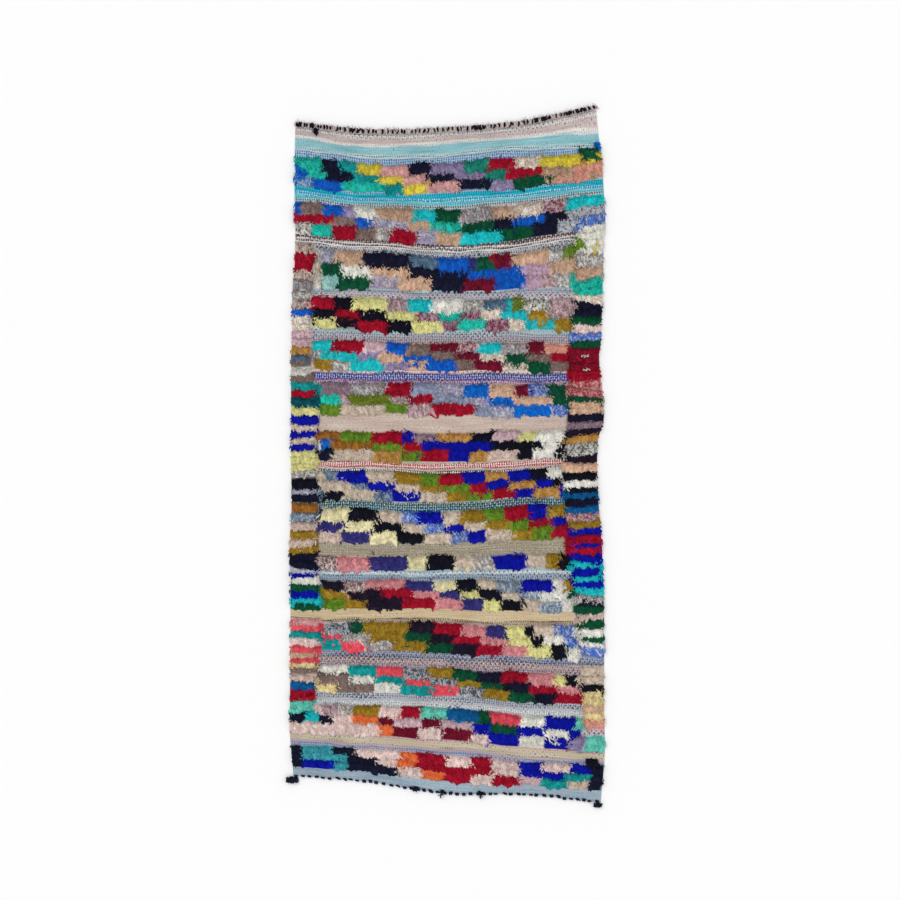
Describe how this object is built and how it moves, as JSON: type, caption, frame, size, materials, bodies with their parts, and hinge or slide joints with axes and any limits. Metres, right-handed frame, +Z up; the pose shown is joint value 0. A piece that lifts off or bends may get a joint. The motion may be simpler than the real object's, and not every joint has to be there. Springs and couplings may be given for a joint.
{
  "type": "boucherouite rug",
  "caption": "Narrow hand-knotted rag rug with bands of shaggy coloured pile between flat-woven stripes, a twined cord along one end and a knot of yarn at each corner of the other.",
  "frame": {"origin": "on the floor, at the middle of the rug in plan", "axes": "+Z up from the floor, +Y along the rug towards its corded end, +X across it to the right"},
  "size_m": [1.1858, 2.6026, 0.024],
  "materials": {
    "rag_cloth": "matt rag yarn and weave in many colours",
    "twined_cord": "matt black and undyed yarn twined together",
    "navy_yarn": "matt dark navy yarn"
  },
  "bodies": {
    "root": {"rug": "rag_cloth", "head_cord": "twined_cord", "corner_knot_left": "navy_yarn", "corner_knot_right": "navy_yarn"}
  },
  "joints": []
}
